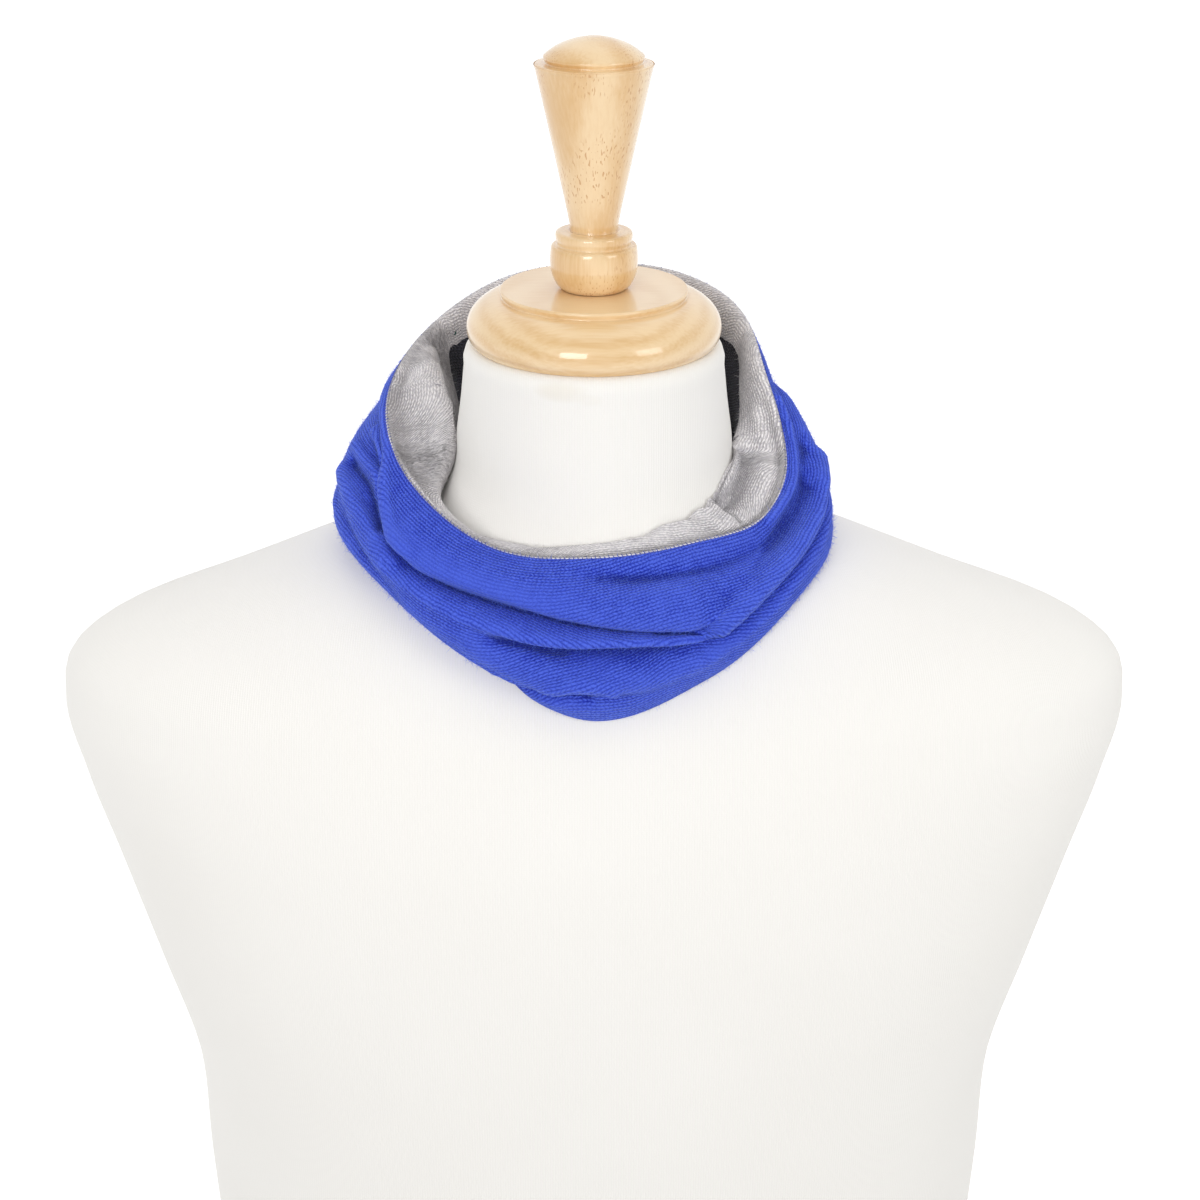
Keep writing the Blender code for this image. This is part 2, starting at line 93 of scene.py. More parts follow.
# Where the navy begins.
BAND_COLUMNS = ("angle", "drop")
BAND_LINE = (
    (0, 95), (60, 90), (88, 70), (95, 68.5), (105, 62), (112, 54), (119, 40), (125, 38), (150, 41),
    (180, 42), (210, 42), (230, 42), (235, 46), (237, 54), (240, 65), (246, 77), (262, 85), (300, 90),
)
CREASE_COLUMNS = ("angle", "down", "depth", "lip", "hang")
CREASES = (
    (
        (0, 0.385, 6.5, 3, 3.5), (9, 0.43, 6.5, 3, 3.5), (18, 0.49, 6, 2.8, 3.2), (25, 0.55, 4, 2, 2),
        (29, 0.55, 0.5, 0.8, 0), (45, 0.36, 0, 0.4, 0), (60, 0.24, 0.5, 0.7, 0), (90, 0.18, 1.8, 0, 0),
        (125, 0.18, 2.5, 0, 0), (180, 0.33, 3, 1.5, 1), (235, 0.28, 2, 1, 0), (262, 0.15, 1.2, 1, 0),
        (277, 0.12, 2.2, 1, 0), (286, 0.15, 3, 1.5, 0.5), (291, 0.22, 3.2, 1.8, 1),
        (300, 0.345, 3.5, 2, 1.5), (308, 0.435, 6.2, 3.2, 2.8), (314, 0.44, 7, 3.2, 3.4),
        (320, 0.395, 8, 3.5, 4), (330, 0.34, 8.6, 3.8, 4.6), (341, 0.33, 8.6, 3.6, 4.6),
        (350, 0.352, 7.8, 3.2, 4.2),
    ),
    (
        (2, 0.53, 7.2, 2.2, 3.6), (11, 0.56, 6.2, 1.8, 3), (20, 0.62, 5.4, 1.6, 2.8),
        (27, 0.655, 6.2, 2, 3.4), (36, 0.63, 6.8, 2.6, 3.6), (48, 0.595, 6.8, 2.6, 3.4),
        (58, 0.585, 6.4, 2.6, 3.2), (68, 0.585, 5.8, 2.4, 2.8), (80, 0.57, 4.6, 2.2, 1.8),
        (95, 0.54, 2.5, 1.5, 0.5), (120, 0.54, 1.5, 1, 0), (180, 0.6, 2.5, 1.5, 1), (235, 0.55, 2.5, 1, 0),
        (265, 0.52, 3, 1.5, 0.5), (285, 0.58, 2, 1, 0), (303, 0.68, 0.5, 0.5, 0), (318, 0.66, 0, 0.5, 0),
        (330, 0.625, 0.2, 0.7, 0), (337, 0.6, 1.8, 1.1, 0.8), (343, 0.578, 4.8, 1.6, 2.3),
        (349, 0.553, 7.2, 2.1, 3.4), (355, 0.535, 7.8, 2.2, 3.9),
    ),
    (
        (0, 0.8, 1.6, 1.2, 0.8), (12, 0.83, 0.5, 0.5, 0), (30, 0.85, 0, 0, 0), (60, 0.82, 0, 0, 0),
        (90, 0.78, 0.5, 0.5, 0), (120, 0.78, 2, 1, 0), (180, 0.82, 2.5, 1.5, 1), (240, 0.77, 1, 1, 0),
        (270, 0.78, 1.2, 0.8, 0), (300, 0.86, 0.5, 0.5, 0), (325, 0.88, 0.5, 1, 0), (345, 0.86, 3, 1.5, 1),
    ),
)
# Soft ridges (+) and troughs (-) over the outer cloth: height, width above and below it, how far its
# ends fade out, all in mm, and its way as (angle, share of the way down).
STROKES = (
    (
        -4, 4.5, 6.5, 12, 50,
        ((94, 0.27), (82, 0.25), (71, 0.225), (60, 0.2), (49, 0.19), (34, 0.19), (18, 0.145), (4, 0.12),
         (-12, 0.12)),
    ),
    (
        2, 1.5, 1.9, 3, 9,
        ((99, 0.03), (92, 0.06), (87, 0.084), (80, 0.09), (74, 0.082), (66, 0.06), (54, 0.04)),
    ),
    (
        -0.9, 1.2, 1.2, 14, 1,
        ((-74, 0.145), (-69, 0.22), (-60, 0.35), (-53, 0.43), (-46, 0.43), (-40, 0.395), (-30, 0.34),
         (-19, 0.33), (-10, 0.352), (0, 0.385), (9, 0.431), (18, 0.49), (24.5, 0.55)),
    ),
    (-2, 1.6, 2.4, 7, 0.5, ((14, 0.46), (20, 0.51), (25, 0.565))),
    (0.6, 2.6, 2.6, 3, 4, ((28, 0.5), (30.5, 0.56), (28, 0.62))),
    (
        3.6, 5.5, 1.8, 6, 9,
        ((92, 0.44), (84, 0.43), (77, 0.44), (68, 0.46), (58, 0.475), (48, 0.495), (41, 0.52), (34, 0.56),
         (27, 0.61)),
    ),
    (-2.4, 2.2, 3.2, 14, 9, ((-28, 0.615), (-21, 0.585), (-14, 0.56), (-4, 0.537))),
    (3.2, 7, 7, 12, 12, ((112, 0.28), (98, 0.28), (86, 0.3), (76, 0.32))),
    (-2.8, 1.8, 3, 9, 9, ((-26, 0.97), (-20, 0.94), (-12.7, 0.88), (-5, 0.8), (2, 0.82))),
    (1.6, 2.6, 1.5, 9, 2, ((-24, 0.91), (-17, 0.87), (-10, 0.8), (-4, 0.74), (2, 0.745), (6, 0.79))),
    (
        2.8, 3, 1.6, 5, 8,
        ((-90, 0.14), (-83, 0.09), (-75, 0.1), (-68, 0.18), (-60, 0.3), (-53, 0.385), (-46, 0.39)),
    ),
    (2.6, 1.8, 2, 3, 3, ((-91, 0.32), (-87, 0.29), (-80, 0.23), (-74, 0.19), (-69, 0.235))),
    (-4.6, 3, 3.6, 6, 9, ((-88, 0.4), (-78, 0.31), (-72, 0.3), (-66, 0.345), (-58, 0.43))),
    (2.8, 2.6, 4, 4, 9, ((-92, 0.51), (-82, 0.46), (-74, 0.452), (-65, 0.45), (-58, 0.5), (-50, 0.58))),
    (-1.4, 2.5, 3.5, 6, 9, ((-86, 0.66), (-72, 0.62), (-58, 0.68), (-46, 0.75))),
    (1.6, 6, 7, 12, 12, ((-34, 0.72), (-18, 0.74), (0, 0.69), (16, 0.75), (34, 0.78))),
    (-0.8, 3, 3, 8, 9, ((112, 0.34), (128, 0.4), (146, 0.44))),
    (0.9, 3, 3, 8, 9, ((118, 0.66), (136, 0.72), (158, 0.7))),
    (-1, 2.5, 3, 8, 9, ((168, 0.2), (186, 0.16), (204, 0.19))),
    (0.8, 3, 3, 8, 9, ((196, 0.46), (212, 0.42), (229, 0.44))),
    (-0.9, 2, 3, 3, 9, ((221, 0.72), (236, 0.7), (250, 0.64))),
)
# The same on the lining, where the way is (angle, mm from the rim) and a ridge faces the form.
LINING_STROKES = (
    (2.6, 6, 2.2, 8, 7, ((-121, 9), (-113, 13), (-105, 18), (-97, 23), (-89, 27), (-81, 27), (-74, 24))),
    (-1.6, 1.6, 2.5, 4, 8, ((-99, 5), (-106, 8), (-116, 11))),
    (-6.5, 3.2, 5, 14, 7, ((84, 19), (76, 18), (66, 18.5), (57, 18), (48, 19))),
    (1.6, 3.2, 2.2, 9, 9, ((100, 9), (80, 9), (66, 9.5), (52, 9), (40, 9))),
    (-0.8, 1.4, 2.4, 9, 9, ((-78, 8), (-64, 7), (-48, 6.5), (-30, 6), (-12, 6))),
    (-1, 2.5, 3, 6, 9, ((140, 10), (152, 14), (170, 15))),
    (0.9, 3, 3, 8, 9, ((186, 12), (202, 16), (219, 14))),
)
# Stray bits of yarn caught in the lining: angle, mm from the rim, length in mm, colour.
FLECKS = (
    ("green_fleck", 230, 10.5, 1.8, (0.01, 0.06, 0.05)),
    ("dark_fleck", 18, 9.5, 1.2, (0.02, 0.03, 0.03)),
)
# How much cloth each crease takes in, as (angle, mm): the rows of knit below it are that much further down.
TAKEN_IN = (
    ((-98, 20), (-75, 34), (-60, 38), (-30, 34), (-20, 31), (0, 13), (15, -6), (25, 0), (180, 0), (235, 4)),
    ((-45, 0), (-21, 0), (-10, 13), (0, 30), (15, 50), (26, 50), (60, 42), (120, 26), (180, 12), (235, 4)),
)
# How much the rows of knit climb towards the rim as they go round, as (angle, mm).
LEAN = ((-120, 0), (-12, 0), (0, 4), (12, 9), (25, 12), (60, 13), (90, 12), (150, 6), (210, 0))
EASING = np.linspace(-7, 7, 15)  # degrees over which the corners of these are rounded
TAKEN_ABOVE = 0.9 * MM  # how far above the crease the cloth is taken in
# Faint marks on the jersey: u, v, half length and half height in metres, how strong.
STAINS = ((-0.014, 0.007, 0.013, 0.005, 0.3), (-0.002, 0.01, 0.006, 0.003, 0.15))

# -------- sizes

CLOTH = 1.9 * MM  # how thick the cloth is
CLOTH_APART = CLOTH + 0.3 * MM  # between the middles of two layers that nearly touch
CLOTH_REST = CLOTH / 2 + 0.5 * MM  # from the form to the middle of the cloth on it
SEAM_RIGHT, SEAM_LEFT = 88.0, 262.0
PANEL_GAP = 0.005  # degrees from a side seam to a panel of the lining
ROUND_FRONT = 0.235  # how far round the cloth the lining's back begins
ROUND = 1.83 * MM  # how far round the cloth a degree is

LIP_ABOVE = 5.0 * MM  # how far above a crease its lip is
SKIRT_SWELL = 0.5 * MM  # how far the cloth swells below the last crease
LAST_STEP = 2 * len(CREASES) + 2
ROUNDING = ((-0.3, 0.15), (-0.15, 0.2), (0.0, 0.3), (0.15, 0.2), (0.3, 0.15))  # (shift, weight)
RIM_TURNS = np.radians((0, 40, 80, 120))  # where the lining's points over the rim lie
LINING_DESCENT = (0.2, 0.4, 0.6, 0.75, 0.88, 1.0)  # its points, as shares of the way from throat to end
BAND_FROM = 0.15  # the share of the lining above which no band is looked for
BAND_HALF_GAP = 0.25 * MM

FINE_POINTS = 241  # in a line down the cloth
OUTER_AROUND, OUTER_DOWN = 520, 126
OUTER_START = 1.15 * MM  # how far down its line the outer cloth starts
FRONT_SIZE, BACK_SIZE, BAND_SIZE = (220, 60), (200, 40), (200, 60)  # steps round, points down
ROLL = np.radians((45, 90, 135))  # where the points of a rounded edge lie
INNER_STEP = 3  # every third point is on a wall's inner face too
EVEN_TURNS = 9  # columns to either side over which a tube's rows of knit are evened out
FOLD_SCALES = ((5, 0.5 * MM), (14, 1.6 * MM))  # points to either side, and the height that counts as 1
STROKE_SAMPLES = 150
STROKE_REACH = 16 * MM
LATHE_AROUND, LATHE_STEPS = 128, 6  # points round, steps between two points of a profile
FORM_AROUND, FORM_STEP = 192, 5.0  # points round, and mm down at most
CLOTH_SHARP, LATHE_SHARP, FORM_SHARP = 70, 40, 50  # degrees
FIBRE_FACES = (
    (0, 1, 4), (0, 4, 3), (1, 2, 5), (1, 5, 4), (2, 0, 3), (2, 3, 5),
    (3, 4, 6), (4, 5, 6), (5, 3, 6), (2, 1, 0),
)

STITCH = 1.9 * MM  # from stitch to stitch, in the knit and along the rim
LEG_LEAN, STRAY = 1.5, 0.11  # of a stitch's legs, in stitches
JERSEY_RIB, JERSEY_LOOP = 1.15 * MM, 0.9 * MM
SEAM_THREAD, FLECK_YARN = 0.28 * MM, 0.35 * MM  # radii
FLOOR_HALF = 12.0
LIT_HEIGHT = 0.66  # where the lights point

# -------- curves


def column(rows, columns, name):
    return np.array([row[columns.index(name)] for row in rows], float)


def smooth_through(x, xs, ys):
    """A smooth curve through the points (xs, ys): cubic pieces whose slopes come from the neighbours."""
    steps = np.diff(xs)
    rises = np.diff(ys) / steps
    inner = (rises[:-1] * steps[1:] + rises[1:] * steps[:-1]) / (steps[:-1] + steps[1:])
    slopes = np.concatenate([rises[:1], inner, rises[-1:]])
    i = np.clip(np.searchsorted(xs, x, side="right") - 1, 0, len(steps) - 1)
    t = (x - xs[i]) / steps[i]
    return (
        ys[i] * (1 + 2 * t) * (1 - t) ** 2
        + slopes[i] * steps[i] * t * (1 - t) ** 2
        + ys[i + 1] * t * t * (3 - 2 * t)
        + slopes[i + 1] * steps[i] * t * t * (t - 1)
    )


def all_round(rows, columns, name, angles):
    """One column of a table whose first column is the angle, at any angles."""
    around = column(rows, columns, "angle")
    xs = np.concatenate([around - 360, around, around + 360])
    return smooth_through(np.mod(angles, 360.0), xs, np.tile(column(rows, columns, name), 3))


def station(name, angles):
    return all_round(STATIONS, STATION_COLUMNS, name, angles) * MM


def body_section(drops, names):
    levels = column(BODY, BODY_COLUMNS, "drop")
    return [smooth_through(drops, levels, column(BODY, BODY_COLUMNS, name)) for name in names]


def body_radius(angles, drops):
    half_width, front, back, squareness = body_section(drops / MM, BODY_COLUMNS[1:])
    turn = np.radians(angles)
    depth = np.where(np.cos(turn) > 0, front, back)
    across = np.abs(np.sin(turn) / half_width) ** squareness
    along = np.abs(np.cos(turn) / depth) ** squareness
    return (across + along) ** (-1 / squareness) * MM


def off_body(angles, drops, distance):
    """(radius, drop) of points that stand this far off the form, square to it."""
    step = 0.5 * MM
    spread = (body_radius(angles, drops + step) - body_radius(angles, drops - step)) / (2 * step)
    square = np.sqrt(1 + spread**2)
    return body_radius(angles, drops) + distance / square, drops - distance * spread / square


def place(angles, radii, drops):
    turn = np.radians(angles)
    xyz = radii * np.sin(turn), NECK_Y - radii * np.cos(turn), CAP_TOP - drops
    return np.stack(np.broadcast_arrays(*xyz), axis=-1)


def walked(line):
    """How far along a line, given as rows of radii and drops, its points lie."""
    return np.concatenate([[0], np.cumsum(np.hypot(*np.diff(line)))])


def walked_rows(grid):
    """The same for each row of a grid of points in space."""
    lengths = np.linalg.norm(np.diff(grid, axis=1), axis=2)
    return np.concatenate([np.zeros((len(grid), 1)), np.cumsum(lengths, axis=1)], axis=1)


def evenly(line, count, start=0.0):
    """The line, resampled at equal distances, from start metres along it."""
    along = walked(line)
    at = np.linspace(start, along[-1], count)
    return np.array([np.interp(at, along, row) for row in line])


# -------- the profiles of the cloth


def outer_base(angle, downs):
    """The outer cloth without its creases: a bow from the rim over the belly to the hem."""
    rim = station("rim_radius", angle), station("rim_drop", angle)
    belly = station("belly_radius", angle), station("belly_drop", angle)
    hem = off_body(angle, station("hem_drop", angle), CLOTH_REST)
    rows = []
    for start, middle, end in zip(rim, belly, hem):
        pull = 2 * middle - (start + end) / 2
        rows.append(start * (1 - downs) ** 2 + 2 * pull * downs * (1 - downs) + end * downs**2)
    return np.array(rows)


@functools.lru_cache(maxsize=None)
def crease_plan(angle):
    """The base at one angle, which way it faces, and where each lip and crease lies and how far it
    swells out of the base."""
    line = outer_base(angle, np.linspace(0, 1, FINE_POINTS))
    along = walked(line)
    slopes = np.gradient(line, along, axis=1)
    places = [0.0]
    swells = [0.0]
    for rows in CREASES:
        down, depth, lip, hang = (
            float(all_round(rows, CREASE_COLUMNS, name, angle)) for name in CREASE_COLUMNS[1:]
        )
        centre = down * along[-1]
        places += [centre - LIP_ABOVE + hang * MM, centre]
        swells += [lip * MM, -depth * MM]
    places += [(places[-1] + along[-1]) / 2, along[-1]]
    swells += [SKIRT_SWELL, 0.0]
    outward = np.array([slopes[1], -slopes[0]])
    return along, line, outward, np.array(places), np.array(swells)


def crease_curve(angle, steps):
    """The creased line. Its steps go from 0 at the rim, one for each lip and each crease, to the hem."""
    along, line, outward, places, swells = crease_plan(float(angle))
    knots = np.arange(len(places), dtype=float)
    at = np.clip(smooth_through(steps, knots, places), 0, along[-1])
    swell = smooth_through(steps, knots, swells)
    return np.array(
        [np.interp(at, along, line[i]) + swell * np.interp(at, along, outward[i]) for i in (0, 1)]
    )


def outer_line(angle):
    """The whole outer cloth at one angle, its creases rounded by a weighted mean of shifted lines."""
    steps = np.linspace(0, LAST_STEP, FINE_POINTS)
    mean = 0
    for shift, weight in ROUNDING:
        at = steps + shift
        mirrored = np.where(at < 0, -at, np.where(at > LAST_STEP, 2 * LAST_STEP - at, at))
        end = crease_curve(angle, np.where(at < LAST_STEP / 2, 0.0, float(LAST_STEP)))
        curve = crease_curve(angle, np.clip(mirrored, 0, LAST_STEP))
        mean = mean + weight * np.where((at < 0) | (at > LAST_STEP), 2 * end - curve, curve)
    return mean


def lining_end(angle, outer):
    """The lowest drop at which the lining on the form is clear of the outer cloth."""
    drops = station("hem_drop", angle) - np.arange(0, 40 * MM, 0.1 * MM)
    radii, lifted = off_body(angle, drops, CLOTH_REST)
    apart = np.hypot(outer[0][:, None] - radii, outer[1][:, None] - lifted).min(0)
    return drops[np.argmax(apart > CLOTH_APART)]


@functools.lru_cache(maxsize=None)
def lining_curve(angle):
    """The lining at one angle: over the rim from the outer cloth, down the throat, along the form."""
    outer = outer_line(angle)
    down = outer[:, 3] - outer[:, 0]
    down = down / np.hypot(*down)
    inward = np.array([-down[1], down[0]])
    centre = outer[:, 0] + CLOTH_APART / 2 * inward
    points = []
    for turn in RIM_TURNS:
        points.append(centre - CLOTH_APART / 2 * (math.cos(turn) * inward + math.sin(turn) * down))
    rim = points[-1]
    radius, drop, crown = (
        all_round(LINING, LINING_COLUMNS, name, angle) * MM for name in LINING_COLUMNS[1:]
    )
    throat = np.array([max(radius, body_radius(angle, drop) + CLOTH_REST), drop])
    slack = throat[0] - body_radius(angle, throat[1]) - CLOTH_REST
    points += [(rim + throat) / 2 - np.array([0, crown]), throat]
    end = lining_end(angle, outer)
    for share in LINING_DESCENT:
        drop = throat[1] + share * (end - throat[1])
        points.append(off_body(angle, drop, CLOTH_REST + slack * (1 - share) ** 2))
    line = np.array(points).T
    return walked(line), line


def lining_profile(angle, shares):
    along, line = lining_curve(angle)
    return np.array([smooth_through(shares * along[-1], along, row) for row in line])


def band_shares(angle):
    """Where the upper piece of the lining's back ends, and where the band below it begins."""
    shares = np.linspace(0, 1, FINE_POINTS)
    drops = lining_profile(angle, shares)[1]
    end = all_round(BAND_LINE, BAND_COLUMNS, "drop", angle) * MM
    line = shares[np.argmax((drops > end) & (shares > BAND_FROM))]
    half_gap = BAND_HALF_GAP / lining_curve(angle)[0][-1]
    return line - half_gap, line + half_gap


# -------- meshes


def mesh_object(name, points, faces, material, uvs=None, sharp=None):
    """A smooth mesh. uvs has a (u, v) for each corner, by the map's name, and edges that turn by more
    than sharp degrees stay edges."""
    mesh = bpy.data.meshes.new(name)
    mesh.from_pydata(points.reshape(-1, 3).tolist(), [], faces)
    for map_name, corners in (uvs or {}).items():
        layer = mesh.uv_layers.new(name=map_name)
        layer.data.foreach_set("uv", np.array(corners, np.float32).ravel())
    mesh.shade_smooth()
    if sharp:
        mesh.set_sharp_from_angle(angle=math.radians(sharp))
    mesh.materials.append(material)
    made = bpy.data.objects.new(name, mesh)
    bpy.context.scene.collection.objects.link(made)
    return made


def quads(rows, columns, rows_closed, columns_closed):
    """The faces between the neighbours in a grid of points, [row][column]."""
    i = np.arange(rows if rows_closed else rows - 1)[:, None]
    j = np.arange(columns if columns_closed else columns - 1)[None, :]
    k = (i + 1) % rows
    m = (j + 1) % columns
    corners = i * columns + j, i * columns + m, k * columns + m, k * columns + j
    return np.stack(np.broadcast_arrays(*corners), -1).reshape(-1, 4).tolist()


def quad_uvs(us, vs):
    """(u, v) of each corner of such faces, from the four u and the four v of a face."""
    pair = [np.stack(np.broadcast_arrays(*values), -1) for values in (us, vs)]
    return np.stack(np.broadcast_arrays(*pair), -1).reshape(-1, 2).tolist()


def facing(grid, closed):
    """Unit normals of a grid of points, [angle][down], pointing away from the neck axis."""
    if closed:
        across = np.roll(grid, -1, axis=0) - np.roll(grid, 1, axis=0)
    else:
        across = np.gradient(grid, axis=0)
    normals = np.cross(np.gradient(grid, axis=1), across)
    return normals / np.linalg.norm(normals, axis=2, keepdims=True)


def folded(grid, normals, closed):
    """How far each point stands on a ridge (up to 1) or down in a fold (down to -1)."""
    tone = 0
    for reach, depth in FOLD_SCALES:
        mean = grid
        for axis in (0, 1):
            pad = [(reach, reach) if axis == n else (0, 0) for n in range(3)]
            padded = np.pad(mean, pad, mode="wrap" if closed and axis == 0 else "edge")
            total = np.cumsum(padded, axis=axis)
            first = np.arange(grid.shape[axis])
            window = np.take(total, first + 2 * reach, axis=axis) - np.take(total, first, axis=axis)
            mean = window / (2 * reach)
        tone = tone + np.clip(((grid - mean) * normals).sum(axis=2) / depth, -1, 1)
    return tone / len(FOLD_SCALES)


def slab(name, grid, material, closed=False, slip=None, start=0.0, depths=0.0):
    """A closed wall of cloth with rounded edges round a grid of mid-surface points, [angle][down].
    The map "cloth" says how far round and how far down the cloth a point is, in metres, from start and
    depths. slip is the hidden cloth above each outer face. The map "fold" has folded() as its u, for
    painted shade in the folds and a painted highlight on the ridges."""
    normals = facing(grid, closed)
    tone = folded(grid, normals, closed)
    half = CLOTH / 2
    up, out = grid[:, 0] - grid[:, 1], grid[:, -1] - grid[:, -2]
    up /= np.linalg.norm(up, axis=1, keepdims=True)
    out /= np.linalg.norm(out, axis=1, keepdims=True)
    rows = grid.shape[1]
    inner = np.arange(rows - 1, -1, -INNER_STEP)
    if inner[-1] != 0:
        inner = np.append(inner, 0)
    down = walked_rows(grid) + depths
    if closed:
        turns = range(-EVEN_TURNS, EVEN_TURNS + 1)
        down = np.mean([np.roll(down, turn, axis=0) for turn in turns], axis=0)

    section = [grid + normals * half]
    ways = [down]
    for turn in ROLL:
        side = math.cos(turn) * normals[:, -1] + math.sin(turn) * out
        section.append((grid[:, -1] + side * half)[:, None])
        ways.append(down[:, -1:] + turn * half)
    section.append((grid - normals * half)[:, inner])
    ways.append(2 * down[:, -1:] - down[:, inner] + math.pi * half)
    for turn in ROLL:
        side = -math.cos(turn) * normals[:, 0] + math.sin(turn) * up
        section.append((grid[:, 0] + side * half)[:, None])
        ways.append((math.pi - turn) * -half + down[:, :1])
    ways.append(down[:, :1])
    points = np.concatenate(section, axis=1)
    way = np.concatenate(ways, axis=1)
    edge = np.ones(len(ROLL))
    tones = np.concatenate([tone, tone[:, -1:] * edge, -tone[:, inner], tone[:, :1] * edge], axis=1)

    count, around = points.shape[:2]
    middle = grid[:, rows // 3]
    widths = np.linalg.norm(np.roll(middle, -1, axis=0) - middle, axis=1)
    cast = start + np.concatenate([[0], np.cumsum(widths)])
    i = np.arange(count if closed else count - 1)[:, None]
    j = np.arange(around)[None, :]
    k = (i + 1) % count
    vs = way[i, j], way[i, j + 1], way[k, j + 1], way[k, j]
    if slip is not None:
        below = np.repeat(slip[:, :, -1:], len(ROLL) + len(inner), axis=2)
        slip = np.concatenate([slip, below, np.zeros_like(slip[:, :, : len(ROLL) + 1])], axis=2)
        vs = vs[0] + slip[0], vs[1] + slip[0], vs[2] + slip[1], vs[3] + slip[1]
    faces = quads(count, around, closed, True)
    uvs = quad_uvs((cast[i], cast[i], cast[i + 1], cast[i + 1]), vs)
    if not closed:
        ring = np.arange(around)
        faces += [ring[::-1].tolist(), (ring + (count - 1) * around).tolist()]
        uvs += [[cast[0], 0.0]] * around + [[cast[count - 1], 0.0]] * around
    # The fold map carries the painted shade and painted highlight of the knit.
    corners = [corner for face in faces for corner in face]
    shades = np.stack([tones.ravel()[corners], np.zeros(len(corners))], axis=1)
    return mesh_object(name, points, faces, material, {"cloth": uvs, "fold": shades}, CLOTH_SHARP)


# -------- materials


class Field:
    """A number or a colour that varies over a surface, in a material's nodes."""

    def __init__(self, tree, socket):
        self.tree = tree
        self.socket = socket

    def to(self, operation, *others):
        node = self.tree.nodes.new("ShaderNodeMath")
        node.operation = operation
        for socket, value in zip(node.inputs, (self, *others)):
            feed(self.tree, socket, value)
        return Field(self.tree, node.outputs[0])

    def __add__(self, other):
        return self.to("ADD", other)

    def __sub__(self, other):
        return self.to("SUBTRACT", other)

    def __mul__(self, other):
        return self.to("MULTIPLY", other)

    def fract(self):
        return self.to("FRACT")

    def sin(self):
        return self.to("SINE")

    def wave(self):
        """Its sine, brought to 0 to 1."""
        return self.sin() * 0.5 + 0.5

    def abs(self):
        return self.to("ABSOLUTE")

    def ranged(self, low, high, to_low=0.0, to_high=1.0):
        node = self.tree.nodes.new("ShaderNodeMapRange")
        node.interpolation_type = "SMOOTHSTEP"
        feed(self.tree, node.inputs["Value"], self)
        for name, value in zip(("From Min", "From Max", "To Min", "To Max"), (low, high, to_low, to_high)):
            node.inputs[name].default_value = value
        return Field(self.tree, node.outputs["Result"])


def feed(tree, socket, value):
    """Links a Field to a socket, or sets the socket to a plain value."""
    if isinstance(value, Field):
        tree.links.new(value.socket, socket)
    else:
        socket.default_value = value


def coordinates(tree, kind, output, **settings):
    """The three parts of an output of a new node."""
    source = tree.nodes.new(kind)
    for name, value in settings.items():
        setattr(source, name, value)
    apart = tree.nodes.new("ShaderNodeSeparateXYZ")
    tree.links.new(source.outputs[output], apart.inputs[0])
    return [Field(tree, apart.outputs[name]) for name in "XYZ"]


class Finish:
    """A Principled material whose patterns are written with Fields."""

    def __init__(self, name, **sockets):
        self.material = bpy.data.materials.new(name)
        self.material.use_nodes = True
        self.tree = self.material.node_tree
        self.shader = self.tree.nodes["Principled BSDF"]
        for socket, value in sockets.items():
            self.shader.inputs[socket.replace("_", " ")].default_value = value

    def cloth(self):
        """(u, v): how far round and down the cloth a point is, in metres."""
        return coordinates(self.tree, "ShaderNodeUVMap", "UV", uv_map="cloth")[:2]

    def fold(self):
        """From -1 in a fold to 1 on a ridge: where the knit paints shade into folds and a highlight onto
        ridges.
        """
        return coordinates(self.tree, "ShaderNodeUVMap", "UV", uv_map="fold")[0]

    def where(self):
        """(x, y, z) of a point."""
        return coordinates(self.tree, "ShaderNodeTexCoord", "Object")

    def noise(self, x, y, z=0.0, detail=2.0, roughness=0.5):
        join = self.tree.nodes.new("ShaderNodeCombineXYZ")
        for socket, value in zip(join.inputs, (x, y, z)):
            feed(self.tree, socket, value)
        node = self.tree.nodes.new("ShaderNodeTexNoise")
        self.tree.links.new(join.outputs[0], node.inputs["Vector"])
        for name, value in (("Scale", 1.0), ("Detail", detail), ("Roughness", roughness)):
            node.inputs[name].default_value = value
        return Field(self.tree, node.outputs["Fac"])

    def mix(self, share, first, second):
        """The first colour, turning into the second as share goes from 0 to 1."""
        node = self.tree.nodes.new("ShaderNodeMix")
        node.data_type = "RGBA"
        feed(self.tree, node.inputs["Factor"], share)
        for name, value in (("A", first), ("B", second)):
            socket = next(s for s in node.inputs if s.name == name and s.type == "RGBA")
            feed(self.tree, socket, value if isinstance(value, Field) else (*value, 1))
        return Field(self.tree, next(s for s in node.outputs if s.type == "RGBA"))

    def spots(self, u, v, rows, low, high):
        """For each row of (u, v, half length, half height, strength), a soft spot of that strength."""
        for middle_u, middle_v, half_u, half_v, strength in rows:
            across = (u - middle_u) * (1 / half_u)
            down = (v - middle_v) * (1 / half_v)
            yield (across * across + down * down).ranged(low, high, strength, 0.0)

    def colour(self, value):
        feed(self.tree, self.shader.inputs["Base Color"], value if isinstance(value, Field) else (*value, 1))

    def bump(self, *layers):
        """Layers are (height from 0 to 1, how many metres that is)."""
        normal = None
        for height, distance in layers:
            node = self.tree.nodes.new("ShaderNodeBump")
            node.inputs["Strength"].default_value = 1.0
            node.inputs["Distance"].default_value = distance
            feed(self.tree, node.inputs["Height"], height)
            if normal:
                self.tree.links.new(normal, node.inputs["Normal"])
            normal = node.outputs["Normal"]
        self.tree.links.new(normal, self.shader.inputs["Normal"])


def plain(name, colour, **sockets):
    finish = Finish(name, **sockets)
    finish.colour(colour)
    return finish.material


